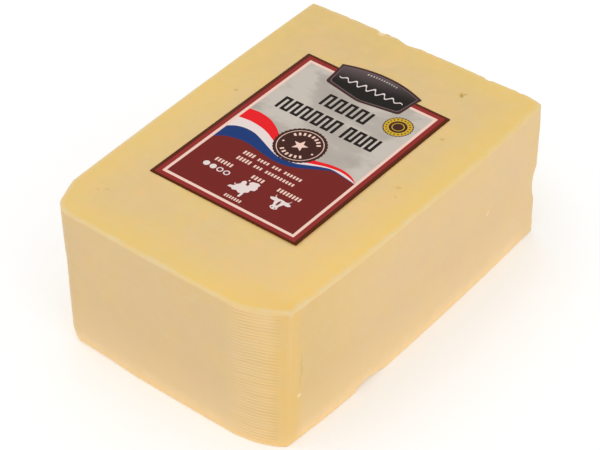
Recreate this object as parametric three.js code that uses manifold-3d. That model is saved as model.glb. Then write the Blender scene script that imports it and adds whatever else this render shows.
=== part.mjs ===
// A block of semi-hard cheese, and a printed label on its top.
//
// The block was cut from a long rindless bar and lies on a cut face. Its -Y side is the side
// of the bar, with two softly rounded upright corners, and its width across X is the bar's
// whole thickness. Its +X and -X sides are the bar's two broad sides. The top, the bottom and
// the +Y end are cut.
// Frame: millimetres, +Z up, +Y along the length, +X across the width. The origin is the
// middle of the face that the block rests on.

import * as THREE from 'three';
import { mergeVertices } from 'three/addons/utils/BufferGeometryUtils.js';
import Module from 'manifold-3d';

// Block
const WIDTH = 105.5;            // across, along X, at the widest place
const LENGTH = 151.25;          // from the side of the bar to the cut end, along Y
const HEIGHT = 60.25;           // from the resting face to the top, along Z
const EDGE = 0.75;              // softened edge round the top and the bottom
const EDGE_STEPS = 3;
const CURVE_STEPS = 14;

// Corners of the plan. across and along are how far a corner reaches in from the width and
// the length, and sideIn is how far in from the width the broad side beside it ends.
const FRONT_CORNER = { across: 20.35, along: 9.9, sideIn: 2.15 };   // moulded, at +X -Y
const LEFT_CORNER = { across: 12.85, along: 18.6, sideIn: 2.15 };   // moulded, at -X -Y
const RIGHT_END = { across: 1.35, along: 0.45 };                    // cut, at +X +Y
const LEFT_END = { across: 0, along: 1.9 };                         // cut, at -X +Y

// Bow of each side: where it stands furthest out, and the points that pull its curves
const RIGHT_SIDE = { widestY: 10, nearPullY: -38, farPullY: 49 };   // +X, broad side
const CUT_END = { furthestX: 32, nearPullX: 45, farPullX: -13 };    // +Y, cut
const LEFT_SIDE = { pullIn: 0.35, pullY: 5 };                       // -X, broad side
const BAR_SIDE = { pullX: 5, rise: 0.65 };                          // -Y, side of the bar

// Eyes: small openings in the top, each a shallow round dimple
const EYES = [
  { x: 25.8, y: 61.2, radius: 1.7, depth: 0.9 },
  { x: 35.3, y: 35.9, radius: 1.2, depth: 0.5 },
  { x: 41.1, y: 0.5, radius: 1.5, depth: 0.6 },
  { x: 38.7, y: 5.3, radius: 1.0, depth: 0.4 },
  { x: -39.7, y: 12.9, radius: 1.2, depth: 0.5 },
  { x: -38.6, y: -58.4, radius: 1.5, depth: 0.6 },
];
const EYE_SIDES = 16;

// Chip broken out of the bottom edge of the +X face
const CHIP = { x: 52.15, y: -27.5, length: 11, deep: 1.6, high: 2.2 };

// Label: a rectangle with an arched tab at its +Y end
const LABEL = { x: -1.05, y: 3.15, width: 63.5, length: 87.25, thick: 0.25, corner: 0.8 };
const TAB = { width: 35, shoulder: 2.6, rise: 3.6, flare: 0.5 };

const cheese = new THREE.MeshStandardMaterial({ color: 0xe4c485, roughness: 0.5, metalness: 0 });
const print = new THREE.MeshStandardMaterial({ color: 0x7a2d28, roughness: 0.35, metalness: 0 });

const wasm = await Module();
wasm.setup();

// A closed geometry as a manifold solid.
function solid(geometry) {
  const bare = geometry.clone();
  bare.deleteAttribute('normal');
  bare.deleteAttribute('uv');
  const merged = mergeVertices(bare, 1e-4);
  return new wasm.Manifold(new wasm.Mesh({
    numProp: 3,
    vertProperties: new Float32Array(merged.attributes.position.array),
    triVerts: new Uint32Array(merged.index.array),
  }));
}

// A manifold solid as a geometry.
function geometryOf(body) {
  const mesh = body.getMesh();
  const geometry = new THREE.BufferGeometry();
  geometry.setAttribute('position', new THREE.BufferAttribute(mesh.vertProperties, 3));
  geometry.setIndex(new THREE.BufferAttribute(mesh.triVerts, 1));
  geometry.computeVertexNormals();
  return geometry;
}

// The plan of the block, counter-clockwise from the sharp edge beside the front corner.
function blockPlan() {
  const x = WIDTH / 2;
  const y = LENGTH / 2;
  const front = { x: x - FRONT_CORNER.across, y: -y + BAR_SIDE.rise };
  const frontEdge = { x: x - FRONT_CORNER.sideIn, y: -y + FRONT_CORNER.along };
  const left = { x: -x + LEFT_CORNER.across, y: -y };
  const leftEdge = { x: -x + LEFT_CORNER.sideIn, y: -y + LEFT_CORNER.along };

  const plan = new THREE.Shape();
  plan.moveTo(frontEdge.x, frontEdge.y);
  plan.quadraticCurveTo(x, RIGHT_SIDE.nearPullY, x, RIGHT_SIDE.widestY);
  plan.quadraticCurveTo(x, RIGHT_SIDE.farPullY, x - RIGHT_END.across, y - RIGHT_END.along);
  plan.quadraticCurveTo(CUT_END.nearPullX, y, CUT_END.furthestX, y);
  plan.quadraticCurveTo(CUT_END.farPullX, y, -x + LEFT_END.across, y - LEFT_END.along);
  plan.quadraticCurveTo(-x + LEFT_SIDE.pullIn, LEFT_SIDE.pullY, leftEdge.x, leftEdge.y);
  plan.bezierCurveTo(
    leftEdge.x + 0.05 * LEFT_CORNER.across, leftEdge.y - 0.5 * LEFT_CORNER.along,
    left.x - 0.45 * LEFT_CORNER.across, left.y,
    left.x, left.y);
  plan.quadraticCurveTo(BAR_SIDE.pullX, -y, front.x, front.y);
  plan.bezierCurveTo(
    front.x + 0.28 * FRONT_CORNER.across, front.y + 0.08 * FRONT_CORNER.along,
    frontEdge.x - 0.22 * FRONT_CORNER.across, frontEdge.y - 0.4 * FRONT_CORNER.along,
    frontEdge.x, frontEdge.y);
  return plan;
}

// An eye: the cap of a ball, sunk below the top by its depth.
function eyeCutter({ x, y, radius, depth }) {
  const ball = (radius * radius + depth * depth) / (2 * depth);
  const cutter = new THREE.SphereGeometry(ball, EYE_SIDES * 2, EYE_SIDES);
  cutter.rotateX(Math.PI / 2);
  cutter.translate(x, y, HEIGHT - depth + ball);
  return cutter;
}

// The chip: a flattened ball that bites into the bottom edge of the +X face.
function chipCutter() {
  const cutter = new THREE.SphereGeometry(1, 20, 12);
  cutter.scale(CHIP.deep, CHIP.length / 2, CHIP.high);
  cutter.translate(CHIP.x, CHIP.y, 0);
  return cutter;
}

function blockGeometry() {
  const body = new THREE.ExtrudeGeometry(blockPlan(), {
    depth: HEIGHT - 2 * EDGE,
    bevelEnabled: true,
    bevelThickness: EDGE,
    bevelSize: EDGE,
    bevelOffset: -EDGE,
    bevelSegments: EDGE_STEPS,
    curveSegments: CURVE_STEPS,
  });
  body.translate(0, 0, EDGE);
  let block = solid(body);
  for (const eye of EYES) block = block.subtract(solid(eyeCutter(eye)));
  return geometryOf(block.subtract(solid(chipCutter())));
}

// The outline of the label: square-cut sides, small round corners, and the arched tab.
function labelOutline() {
  const x = LABEL.width / 2;
  const y = LABEL.length / 2;
  const r = LABEL.corner;
  const tab = TAB.width / 2;
  const outline = new THREE.Shape();
  outline.moveTo(-x + r, -y);
  outline.lineTo(x - r, -y);
  outline.absarc(x - r, -y + r, r, -Math.PI / 2, 0, false);
  outline.lineTo(x, y - r);
  outline.absarc(x - r, y - r, r, 0, Math.PI / 2, false);
  outline.lineTo(tab - TAB.flare, y);
  outline.lineTo(tab, y + TAB.shoulder);
  outline.quadraticCurveTo(0, y + TAB.shoulder + 2 * TAB.rise, -tab, y + TAB.shoulder);
  outline.lineTo(-tab + TAB.flare, y);
  outline.lineTo(-x + r, y);
  outline.absarc(-x + r, y - r, r, Math.PI / 2, Math.PI, false);
  outline.lineTo(-x, -y + r);
  outline.absarc(-x + r, -y + r, r, Math.PI, 1.5 * Math.PI, false);
  return outline;
}

function labelGeometry() {
  return new THREE.ExtrudeGeometry(labelOutline(), {
    depth: LABEL.thick,
    bevelEnabled: false,
    curveSegments: CURVE_STEPS,
  });
}

const block = new THREE.Mesh(blockGeometry(), cheese);
block.name = 'cheese_block';

const label = new THREE.Mesh(labelGeometry(), print);
label.name = 'label';
label.position.set(LABEL.x, LABEL.y, HEIGHT);

const group = new THREE.Group();
group.add(block, label);

export default group;
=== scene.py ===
"""A cut block of semi-hard cheese with a printed label on its top, on a plain pale stage.

The block was cut from a long rindless bar. Its -Y side and the two soft upright corners beside
it come from the mould, as do its broad +X and -X sides. The top, the bottom and the +Y end are
cut. Lengths are in metres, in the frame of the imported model: +Z up, +Y along the length, and
the origin in the middle of the face that the block rests on.
"""

import math
from typing import NamedTuple

import bpy
import numpy as np
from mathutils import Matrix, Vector, noise
from mathutils.geometry import delaunay_2d_cdt


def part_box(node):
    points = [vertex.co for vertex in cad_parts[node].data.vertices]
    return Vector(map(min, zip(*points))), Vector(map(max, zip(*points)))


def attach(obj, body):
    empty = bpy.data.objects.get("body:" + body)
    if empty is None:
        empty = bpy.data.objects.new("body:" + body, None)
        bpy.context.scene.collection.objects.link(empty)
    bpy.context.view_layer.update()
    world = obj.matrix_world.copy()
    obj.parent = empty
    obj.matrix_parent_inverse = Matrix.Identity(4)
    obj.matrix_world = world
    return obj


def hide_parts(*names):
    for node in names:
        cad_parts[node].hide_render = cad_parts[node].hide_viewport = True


bl_info = {
    "name": "Cheese Block",
    "version": (1, 0, 0),
    "blender": (4, 5, 0),
    "location": "View3D > Sidebar > Cheese",
    "description": "Builds a cut block of cheese, its printed label and a plain stage",
    "category": "Add Mesh",
}

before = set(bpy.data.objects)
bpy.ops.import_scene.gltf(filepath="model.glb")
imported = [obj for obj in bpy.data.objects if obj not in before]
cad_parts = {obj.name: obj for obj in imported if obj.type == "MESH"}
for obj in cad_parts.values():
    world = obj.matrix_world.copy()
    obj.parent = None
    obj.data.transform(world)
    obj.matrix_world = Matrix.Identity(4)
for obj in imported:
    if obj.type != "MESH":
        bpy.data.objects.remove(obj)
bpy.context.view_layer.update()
BLOCK_LOW, BLOCK_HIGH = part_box("cheese_block")
LABEL_LOW, LABEL_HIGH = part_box("label")
HALF_WIDTH = BLOCK_HIGH.x
HALF_LENGTH = BLOCK_HIGH.y
HEIGHT = BLOCK_HIGH.z
BODY = "root"
MM = 0.001


def shade(red, green, blue):
    """A display colour from 0 to 255 as the linear colour that shaders take."""
    shares = (red / 255, green / 255, blue / 255)
    return tuple(c / 12.92 if c <= 0.04045 else ((c + 0.055) / 1.055) ** 2.4 for c in shares)


# ---------------------------------------------------------------------------------------------
# Settings
# ---------------------------------------------------------------------------------------------


def length(name, description, millimetres):
    """A length setting, given in millimetres."""
    return bpy.props.FloatProperty(
        name=name,
        description=description,
        default=millimetres * MM,
        min=0.0,
        unit="LENGTH",
        precision=4,
    )


def colour(name, description, value):
    """A colour setting, given as a linear colour."""
    return bpy.props.FloatVectorProperty(
        name=name,
        description=description,
        default=value,
        min=0.0,
        max=1.0,
        size=3,
        subtype="COLOR",
    )


class CheeseSettings(bpy.types.PropertyGroup):
    """Sizes and colours of the cheese."""

    edge_radius: length("Edge radius", "Roundness of the top and bottom edges", 0.6)
    upright_radius: length("Upright radius", "Roundness of the sharp upright edges", 0.9)
    ridge_depth: length("Ridge depth", "From the crest of a ridge to its groove", 0.2)
    ridges: bpy.props.IntProperty(
        name="Ridges",
        description="How many ridges lie above each other on the moulded corners",
        default=43,
        min=1,
        subtype="UNSIGNED",
    )
    swell: length("Swell", "How far the sides swell and sink", 0.3)
    column_step: length("Column step", "Spacing of the mesh round the plan", 1.5)
    cap_step: length("Cap step", "Spacing of the mesh on the top", 1.3)
    heart: colour("Heart", "Colour in the middle of the top", shade(225, 194, 134))
    side: colour("Side", "Colour in the middle of the sides", shade(224, 192, 144))
    # Gold tints the real golden patches, and a painted glow beside the edges of the top.
    gold: colour("Gold", "Golden patches, and the edges of the top", shade(238, 202, 105))
    rim: colour("Rim", "Orange of the front corner and the near right side", shade(234, 191, 104))
    blush: colour("Blush", "Colour of the warmer patches", shade(236, 192, 132))
    # Foot: painted warm bounce light along the bottom of the sides and on the ridged front corner.
    foot: colour("Foot", "Colour along the bottom of the sides", shade(255, 223, 174))
    # Pale edge: painted highlight along the very edge; it also tints the real pale curds and
    # streaks.
    pale: colour("Pale edge", "Colour of the dried very edge", shade(228, 207, 167))
    fresh: colour("Fresh", "Colour of chips and crumbs", shade(252, 226, 184))
    eye: colour("Eye", "Colour inside the small openings", shade(190, 150, 56))
    # Painted shade on the far end of the top, and a darker tone on the front of the sides.
    shade_and_dull: colour("Dull", "Duller far end of the top and front of the sides", shade(210, 180, 120))
    # Glow: painted warm light in the very foot and on the near top.
    glow: colour("Glow", "Warm light in the very foot and the near top", shade(255, 206, 130))


class LabelSettings(bpy.types.PropertyGroup):
    """Sizes and colours of the label."""

    thickness: length("Thickness", "Thickness of the sheet", 0.14)
    outline: length("Outline", "Width of the dark outline", 1.1)
    band: length("Band", "Width of the red band", 1.8)
    keyline: length("Keyline", "Width of the cream line inside the band", 1.2)
    paper: colour("Paper", "The bare sheet", shade(238, 234, 226))
    outline_ink: colour("Outline ink", "The dark outline", shade(88, 34, 4))
    red: colour("Red", "Band inside the outline", shade(148, 45, 41))
    cream: colour("Cream", "Keyline, small words and the seal's marks", shade(241, 205, 189))
    sky: colour("Sky", "Upper field and the plaque's small ticks", shade(181, 172, 162))
    ground: colour("Ground", "Lower field", shade(120, 36, 30))
    scarlet: colour("Scarlet", "Upper stripe of the ribbon", shade(232, 28, 34))
    white: colour("White", "Middle stripe, dots, icons and wavy rule", shade(231, 215, 211))
    blue: colour("Blue", "Lower stripe of the ribbon", shade(26, 56, 116))
    ink: colour("Ink", "Headline bars", shade(30, 22, 18))
    seal: colour("Seal", "Round seal, and the spot's rim and middle", shade(66, 34, 26))
    yellow: colour("Yellow", "Round spot", shade(206, 168, 46))
    rim_ink: colour("Plaque rim", "Rim of the plaque", shade(68, 40, 38))
    plaque: colour("Plaque", "Dark end of the plaque", shade(30, 26, 22))
    # Painted sheen on the plaque's light end, and the colour of its thin printed line.
    steel: colour("Plaque sheen", "Light end and thin line of the plaque", shade(116, 98, 100))


class StageSettings(bpy.types.PropertyGroup):
    """The floor, the sky's light and the camera."""

    floor_size: length("Floor size", "Side of the square floor", 6000)
    distance: length("Distance", "From the camera to its target", 673.4)
    azimuth: bpy.props.FloatProperty(
        name="Azimuth",
        description="Direction of the camera round the block, from -Y towards +X",
        default=math.radians(38.747),
        subtype="ANGLE",
    )
    elevation: bpy.props.FloatProperty(
        name="Elevation",
        description="Height of the camera above the horizon, as an angle",
        default=math.radians(40.583),
        subtype="ANGLE",
    )
    target: bpy.props.FloatVectorProperty(
        name="Target",
        description="The point that the camera looks at",
        default=(0.01482, -0.01814, 0.04586),
        subtype="XYZ",
        unit="LENGTH",
    )
    lens: bpy.props.FloatProperty(
        name="Lens",
        description="Focal length of the camera in millimetres",
        default=117.62,
        unit="CAMERA",
    )
    floor: colour("Floor", "Colour of the floor", (0.955, 0.972, 0.99))
    floor_light: bpy.props.FloatProperty(
        name="Floor light",
        description="How much light the floor gives off itself, as a lit table does",
        default=0.1,
        min=0.0,
    )
    sky: bpy.props.FloatProperty(
        name="Sky",
        description="Strength of the even light from all round",
        default=0.82,
        min=0.0,
    )


# ---------------------------------------------------------------------------------------------
# Shader maths
# ---------------------------------------------------------------------------------------------


class Wire:
    """A shader socket in an expression. Arithmetic on it adds Math nodes."""

    def __init__(self, shader, socket):
        self.shader = shader
        self.socket = socket

    def _maths(self, operation, first, second):
        """A Math node on two wires or numbers."""
        return self.shader.node("ShaderNodeMath", {"operation": operation}, {0: first, 1: second})

    def __add__(self, other):
        return self._maths("ADD", self, other)

    def __radd__(self, other):
        return self._maths("ADD", other, self)

    def __sub__(self, other):
        return self._maths("SUBTRACT", self, other)

    def __rsub__(self, other):
        return self._maths("SUBTRACT", other, self)

    def __mul__(self, other):
        return self._maths("MULTIPLY", self, other)

    def __rmul__(self, other):
        return self._maths("MULTIPLY", other, self)


class Shader:
    """The nodes of one material, built round one Principled BSDF."""

    MIX_FACTOR, MIX_A, MIX_B, MIX_RESULT = 0, 6, 7, 2

    def __init__(self, name, **constants):
        self.material = bpy.data.materials.new(name)
        self.material.use_nodes = True
        self.tree = self.material.node_tree
        self.surface = self.tree.nodes["Principled BSDF"]
        for name, value in constants.items():
            self._socket(name).default_value = value

    def _socket(self, name):
        """A socket of the surface. The name has underscores in place of spaces."""
        return self.surface.inputs[name.replace("_", " ")]

    def node(self, kind, settings=None, values=None, output=0):
        """A new node of that kind: its settings first, then the values or wires of its sockets."""
        made = self.tree.nodes.new(kind)
        for name, value in (settings or {}).items():
            setattr(made, name, value)
        for key, value in (values or {}).items():
            self.connect(made.inputs[key], value)
        return Wire(self, made.outputs[output])

    def connect(self, socket, value):
        """Gives a socket a wire or a plain value."""
        if isinstance(value, Wire):
            self.tree.links.new(value.socket, socket)
        else:
            socket.default_value = value

    def place(self):
        """The point on the surface in metres, in the piece's own frame."""
        return self.node("ShaderNodeTexCoord", output="Object")

    def axis(self, name):
        """One coordinate of the point on the surface: X, Y or Z."""
        return self.node("ShaderNodeSeparateXYZ", values={0: self.place()}, output=name)

    def stored(self, name):
        """A value stored on the mesh."""
        return self.node("ShaderNodeAttribute", {"attribute_name": name}, output="Fac")

    def step(self, value, low, high):
        """Rises smoothly from 0 where value is low to 1 where it is high."""
        settings = {"interpolation_type": "SMOOTHSTEP"}
        limits = {"Value": value, "From Min": low, "From Max": high}
        return self.node("ShaderNodeMapRange", settings, limits)

    def clouds(self, size, detail=3.0, stretch=(1, 1, 1)):
        """Noise from 0 to 1 whose patches are about size metres across."""
        scale = {0: self.place(), 1: tuple(stretch)}
        spread = self.node("ShaderNodeVectorMath", {"operation": "MULTIPLY"}, scale)
        return self.node(
            "ShaderNodeTexNoise",
            values={"Vector": spread, "Scale": 1 / size, "Detail": detail, "Roughness": 0.55},
        )

    def near(self, point, inner, outer):
        """1 within the inner radius of a point, falling to 0 at the outer radius."""
        ends = {0: self.place(), 1: tuple(point)}
        settings = {"operation": "DISTANCE"}
        gap = self.node("ShaderNodeVectorMath", settings, ends, output="Value")
        return self.step(gap, outer, inner)

    def mix(self, factor, first, second):
        """The first colour where factor is 0 and the second where it is 1."""
        values = {self.MIX_FACTOR: factor, self.MIX_A: rgba(first), self.MIX_B: rgba(second)}
        return self.node("ShaderNodeMix", {"data_type": "RGBA"}, values, self.MIX_RESULT)

    def bump(self, height, distance, onto=None):
        """A normal tilted by a height that is 0 to 1 over that distance in metres."""
        values = {"Height": height, "Distance": distance, "Strength": 1.0}
        if onto:
            values["Normal"] = onto
        return self.node("ShaderNodeBump", values=values)

    def finish(self, **wires):
        """Connects wires to the surface's sockets and returns the material."""
        for name, wire in wires.items():
            self.connect(self._socket(name), wire)
        return self.material


def rgba(value):
    """A colour with its alpha, or a wire as it is."""
    return value if isinstance(value, Wire) else (*value, 1.0)


def scaled(value, factor):
    """A darker or lighter colour."""
    return tuple(min(1.0, c * factor) for c in value)


# ---------------------------------------------------------------------------------------------
# Lines and meshes
# ---------------------------------------------------------------------------------------------


def bezier(points, steps=48):
    """A Bezier curve through its first and last control point, as an array of points."""
    at = np.linspace(0, 1, steps + 1)[:, None]
    order = len(points) - 1
    weights = [math.comb(order, k) * at**k * (1 - at) ** (order - k) for k in range(order + 1)]
    return sum(w * np.array(p, float) for w, p in zip(weights, points))


def smooth_line(points, steps=8):
    """A smooth curve through all its points (Catmull-Rom)."""
    held = [points[0], *points, points[-1]]
    pieces = []
    for before, start, end, after in zip(held, held[1:], held[2:], held[3:]):
        before, start, end, after = (np.array(p, float) for p in (before, start, end, after))
        controls = [start, start + (end - before) / 6, end - (after - start) / 6, end]
        pieces.append(bezier(controls, steps)[:-1])
    return np.vstack([*pieces, [points[-1]]])


def counter_clockwise(loop):
    """The loop, turned round if it ran clockwise."""
    after = np.roll(loop, -1, axis=0)
    area = (loop[:, 0] * after[:, 1] - after[:, 0] * loop[:, 1]).sum() / 2
    return loop if area > 0 else loop[::-1]


def distances(line):
    """How far each point is along a line."""
    gaps = np.linalg.norm(np.diff(line, axis=0), axis=1)
    return np.concatenate([[0], np.cumsum(gaps)])


def points_along(line, at):
    """The points at these distances along a line."""
    along = distances(line)
    return np.column_stack([np.interp(at, along, line[:, k]) for k in range(2)])


def respaced(line, step, skip_start, skip_end):
    """Points at even distances along a line, leaving out a length at either end."""
    first, last = skip_start, distances(line)[-1] - skip_end
    count = max(2, round((last - first) / step) + 1)
    return points_along(line, np.linspace(first, last, count))


def smoothstep(value, low, high):
    """Rises smoothly from 0 where value is low to 1 where it is high."""
    share = np.clip((value - low) / (high - low), 0, 1)
    return share * share * (3 - 2 * share)


def outward(loop):
    """Unit normals that point out of a counter-clockwise loop."""
    run = np.roll(loop, -1, axis=0) - np.roll(loop, 1, axis=0)
    out = np.column_stack([run[:, 1], -run[:, 0]])
    return out / np.linalg.norm(out, axis=1, keepdims=True)


def waves(points, size, seed):
    """Smooth noise from about -1 to 1 at each point, with waves about size metres long."""
    shift = Vector((seed * 7.3, seed * 3.1, seed * 1.7))
    return np.array([noise.noise(Vector(p) / size + shift) for p in points])


def ripple(x, y, size, layer):
    """Smooth noise over the level, from about -1 to 1, with waves about size metres long."""
    return noise.noise(Vector((x / size, y / size, layer)))


INSIDE_OUTLINES = 1  # what the triangulation gives back: the triangles inside its outlines


def fill_loop(loop, inner):
    """Triangles that fill a counter-clockwise loop and pass through the inner points too.

    They index the loop's points first and then the inner ones.
    """
    points = np.vstack([loop, inner])
    corners = list(range(len(loop)))
    sides = list(zip(corners, corners[1:] + corners[:1]))
    spots = [Vector(p) for p in points / MM]
    filled = delaunay_2d_cdt(spots, sides, [corners], INSIDE_OUTLINES, 1e-5, True)
    _, _, triangles, origins, _, _ = filled
    return [[origins[v][0] for v in triangle] for triangle in triangles]


def lattice(loop, step, margin):
    """Points of a triangular grid inside a loop, at least margin from it."""
    low, high = loop.min(axis=0), loop.max(axis=0)
    rows = np.arange(low[1] + step, high[1], step * math.sqrt(3) / 2)
    grid = np.array([
        (x, y)
        for k, y in enumerate(rows)
        for x in np.arange(low[0] + step * (0.5 + 0.5 * (k % 2)), high[0], step)
    ])
    return grid[inside(grid, loop) & (distance_to(grid, loop) > margin)]


def inside(points, loop):
    """True for each point that lies inside a loop."""
    after = np.roll(loop, -1, axis=0)
    x, y = points[:, :1], points[:, 1:]
    crosses = (loop[:, 1] > y) != (after[:, 1] > y)
    rise = np.where(after[:, 1] == loop[:, 1], 1e-12, after[:, 1] - loop[:, 1])
    reach = loop[:, 0] + (y - loop[:, 1]) * (after[:, 0] - loop[:, 0]) / rise
    return (crosses & (x < reach)).sum(axis=1) % 2 == 1


def distance_to(points, loop):
    """Distance from each point to the nearest point of a loop."""
    return np.array([np.min(np.hypot(*(loop - p).T)) for p in points])


def new_piece(name, vertices, faces, materials, face_materials=None):
    """A mesh object with smooth faces, as a piece of the block's body."""
    mesh = bpy.data.meshes.new(name)
    mesh.from_pydata([tuple(v) for v in vertices], [], [tuple(f) for f in faces])
    for material in materials:
        mesh.materials.append(material)
    if face_materials is not None:
        mesh.polygons.foreach_set("material_index", face_materials)
    mesh.polygons.foreach_set("use_smooth", [True] * len(mesh.polygons))
    mesh.update()
    if mesh.validate():
        raise RuntimeError(f"{name} has faces that are not valid")
    piece = bpy.data.objects.new(name, mesh)
    bpy.context.scene.collection.objects.link(piece)
    return piece


# ---------------------------------------------------------------------------------------------
# The cheese
# ---------------------------------------------------------------------------------------------


class Side(NamedTuple):
    """One stretch of the block's plan."""

    name: str
    line: np.ndarray
    step: float  # spacing of the mesh along it, as a share of the column step
    sharp_end: bool  # whether it ends at a sharp upright edge


class Eye(NamedTuple):
    """A small opening where the cut went through a bubble, in millimetres."""

    x: float
    y: float
    length: float
    width: float
    turn: float  # of its length from +X, in degrees
    depth: float


class Dent(NamedTuple):
    """A place where the surface is pushed, all in millimetres."""

    centre: tuple
    push: tuple  # how far the middle moves
    reach: tuple  # how far the dent reaches along each axis
    crisp: float  # 2 fades out softly, and less than 1 has a clear edge


class Spot(NamedTuple):
    """A pale mark, in metres: full within the inner radius, and gone at the outer one."""

    place: tuple
    inner: float
    outer: float


class Crease(NamedTuple):
    """A faint upright line in the right side, in metres."""

    along: float  # its place along Y
    low: float
    high: float
    strength: float


EYES = (
    Eye(25.8, 61.2, 1.5, 0.8, -60, 0.5),
    Eye(26.6, 62.4, 0.8, 0.6, 10, 0.3),
    Eye(35.3, 35.9, 1.1, 0.7, 20, 0.25),
    Eye(41.3, 0.4, 1.2, 0.7, -60, 0.1),
    Eye(39.1, 4.9, 1.3, 0.8, 30, 0.2),
    Eye(-39.7, 12.9, 1.1, 0.7, -10, 0.25),
    Eye(-37.6, -57.7, 1.1, 0.6, 30, 0.12),
    Eye(-39.9, -59.4, 0.9, 0.6, -20, 0.12),
)

END_EYES = (  # on the cut end, with Z for y
    Eye(-31.0, 43.5, 1.4, 0.9, 25, 0.45),
    Eye(-9.0, 20.0, 1.1, 0.8, -20, 0.3),
    Eye(16.5, 50.0, 1.3, 0.8, 60, 0.35),
    Eye(21.5, 33.5, 1.0, 0.8, 0, 0.25),
    Eye(39.0, 13.0, 1.5, 0.9, -40, 0.45),
    Eye(-38.5, 15.5, 1.0, 0.8, 10, 0.25),
)

DENTS = (
    # The front upright edge spreads towards its foot.
    Dent((50.0, -66.5, 0.0), (-0.5, -2.0, 0), (17, 17, 62), 1.2),
    # A crumb on the right side, and a chip in its foot.
    Dent((51.1, -63.0, 20.9), (0.25, -0.05, 0), (3, 1.3, 1.2), 1.0),
    Dent((52.4, -28.5, 0.0), (-1.6, 0, 1.4), (6, 5, 2.6), 0.8),
    Dent((52.6, -22.5, 0.0), (-0.8, 0, 0.7), (5, 4, 1.6), 1.2),
    # The far upright edge: its worn top, a shallow notch and its foot.
    Dent((51.6, 75.4, 60.2), (-0.2, -0.3, 0), (6, 6, 9), 1.2),
    Dent((51.6, 75.4, 24.2), (-0.4, -1.25, 0), (9, 7, 8), 1.1),
    Dent((51.4, 75.2, 0.0), (0.2, 0.6, 0), (14, 10, 8), 1.2),
    # The lip and the worn foot of the left corner.
    Dent((-45.2, -73.0, 60.2), (-0.55, -0.3, 0), (4.5, 4.5, 26), 1.0),
    Dent((-36.0, -75.8, 0.0), (0.2, 1.0, 0.1), (24, 10, 5), 1.3),
    # The far top edge bows out in two places, and three chips are gone from it.
    Dent((-33.0, 75.6, 60.2), (0, 0.75, 0), (23, 16, 50), 0.6),
    Dent((43.0, 75.6, 60.2), (0, 0.5, 0), (9, 10, 30), 1.0),
    Dent((-20.4, 76.0, 60.2), (0, -0.45, -0.2), (2.2, 3, 2), 0.9),
    Dent((-7.5, 75.6, 60.2), (0, -0.6, -0.1), (5, 6, 8), 1.0),
    Dent((27.8, 75.7, 60.2), (0, -0.5, -0.15), (2.0, 2.5, 1.5), 1.0),
    # A scrape on the top.
    Dent((-1.0, 68.5, 60.2), (0, 0, -0.18), (3.2, 1.2, 3), 1.5),
)

CRUMB = Spot((51.0 * MM, -63.0 * MM, 20.9 * MM), 0.5 * MM, 1.5 * MM)
STREAKS = (
    Spot((52.5 * MM, 41.7 * MM, 30.8 * MM), 0.1 * MM, 0.9 * MM),
    Spot((52.5 * MM, 42.2 * MM, 31.7 * MM), 0.1 * MM, 0.8 * MM),
)
FRESH_CHIP = Spot((-19.8 * MM, 74.2 * MM, HEIGHT), 0.8 * MM, 2.2 * MM)
PALE_CREASE = Crease(-64.4 * MM, 23 * MM, 60 * MM, 0.2)
# A painted shadow line beside the pale crease.
CREASE_SHADOW = Crease(-61.9 * MM, 23 * MM, 43 * MM, 0.3)

EDGE_STEPS = 5  # points in the turn of each edge
STEPS_PER_RIDGE = 4
RIDGE_GRAIN = (0.12, 0.12, 1)  # each ridge stays even along itself, and differs from the next
BOTTOM_CAP = 2.2  # spacing of the mesh on the bottom, as a share of the spacing on the top
EYE_RINGS = (0.0, 0.35, 0.6, 0.8, 0.93, 1.06, 1.3)  # as shares of an eye's reach
EYE_CLEAR = 0.35  # bare share beyond an eye's last ring
EYE_SIDES = 18


def curve(*parts):
    """Bezier curves end to end, in metres from control points in millimetres."""
    return np.vstack([bezier(controls) for controls in parts]) * MM


def plan_sides():
    """The block's plan, counter-clockwise from the sharp edge beside the front corner."""
    x, y = HALF_WIDTH / MM, HALF_LENGTH / MM
    front = (x - 20.35, -y + 0.65)
    front_edge = (x - 2.5, -y + 9.2)
    left = (-x + 12.85, -y)
    left_edge = (-x + 2.6, -y + 14.8)
    widest = (x, 10)
    right_end = (x - 1.35, y - 0.45)
    crown = (32, y)
    left_end = (-x, y - 1.9)
    return (
        Side("right", curve([front_edge, (x, -38), widest], [widest, (x, 49), right_end]), 1, True),
        Side("end", curve([right_end, (45, y), crown], [crown, (-13, y), left_end]), 0.5, True),
        Side("left", curve([left_end, (-x + 0.35, 5), left_edge]), 1.5, False),
        Side("left corner", curve([left_edge, (-48.6, -66.5), (-45.6, -74.2), left]), 0.7, False),
        Side("bar", curve([left, (5, -y), front]), 1, False),
        Side("front corner", curve([front, (38.1, -74.2), (46.1, -69.7), front_edge]), 0.7, True),
    )


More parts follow.
